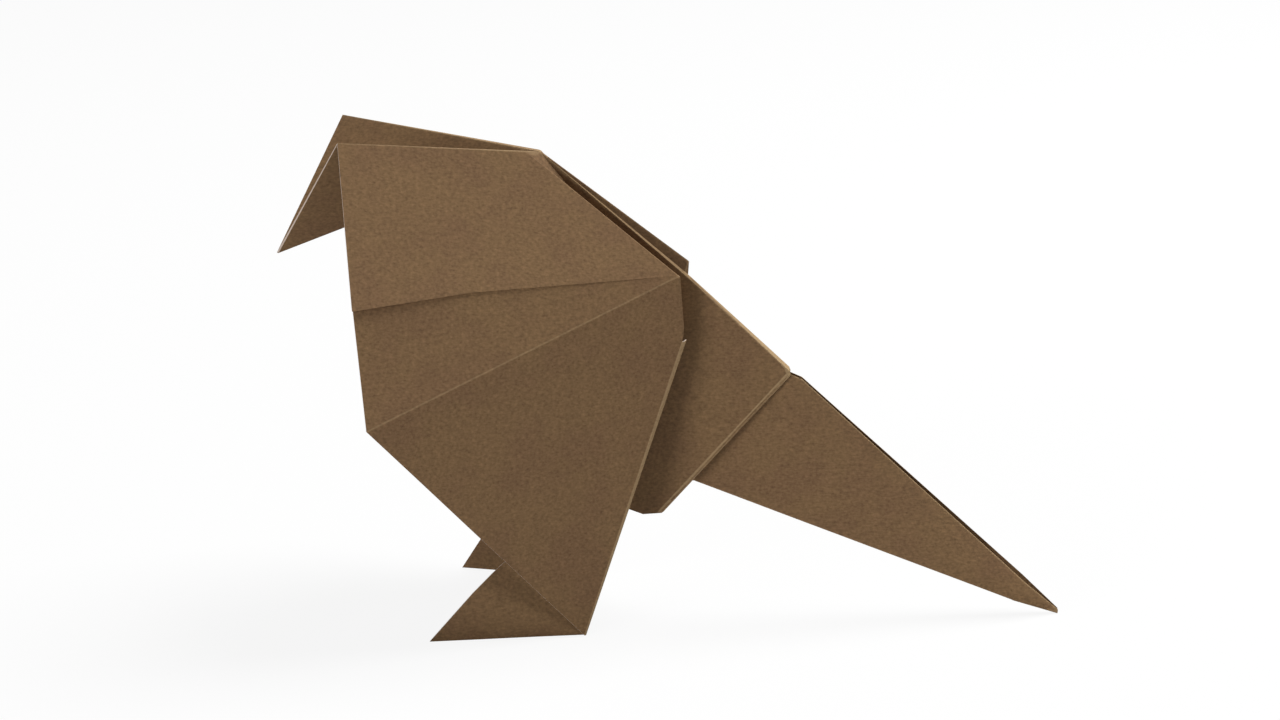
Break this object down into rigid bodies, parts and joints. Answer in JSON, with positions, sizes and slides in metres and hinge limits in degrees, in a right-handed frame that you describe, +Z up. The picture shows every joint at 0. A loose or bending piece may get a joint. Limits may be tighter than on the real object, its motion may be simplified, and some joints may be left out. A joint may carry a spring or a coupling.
{
  "type": "origami sparrow",
  "caption": "Sparrow folded from one square sheet of brown paper: open channel head with a hooked beak, broad breast panels, turned feet and a long straight tail.",
  "frame": {"origin": "on the surface that the bird stands on, under the middle of its box", "axes": "+X from the beak to the tail, +Y to the bird's right side, +Z up; the mid-plane is Y = 0"},
  "size_m": [0.1682, 0.0682, 0.1064],
  "materials": {
    "brown_paper": "matte uncoated paper, olive brown on both faces"
  },
  "bodies": {
    "root": {"folded_sheet": "brown_paper"}
  },
  "joints": []
}
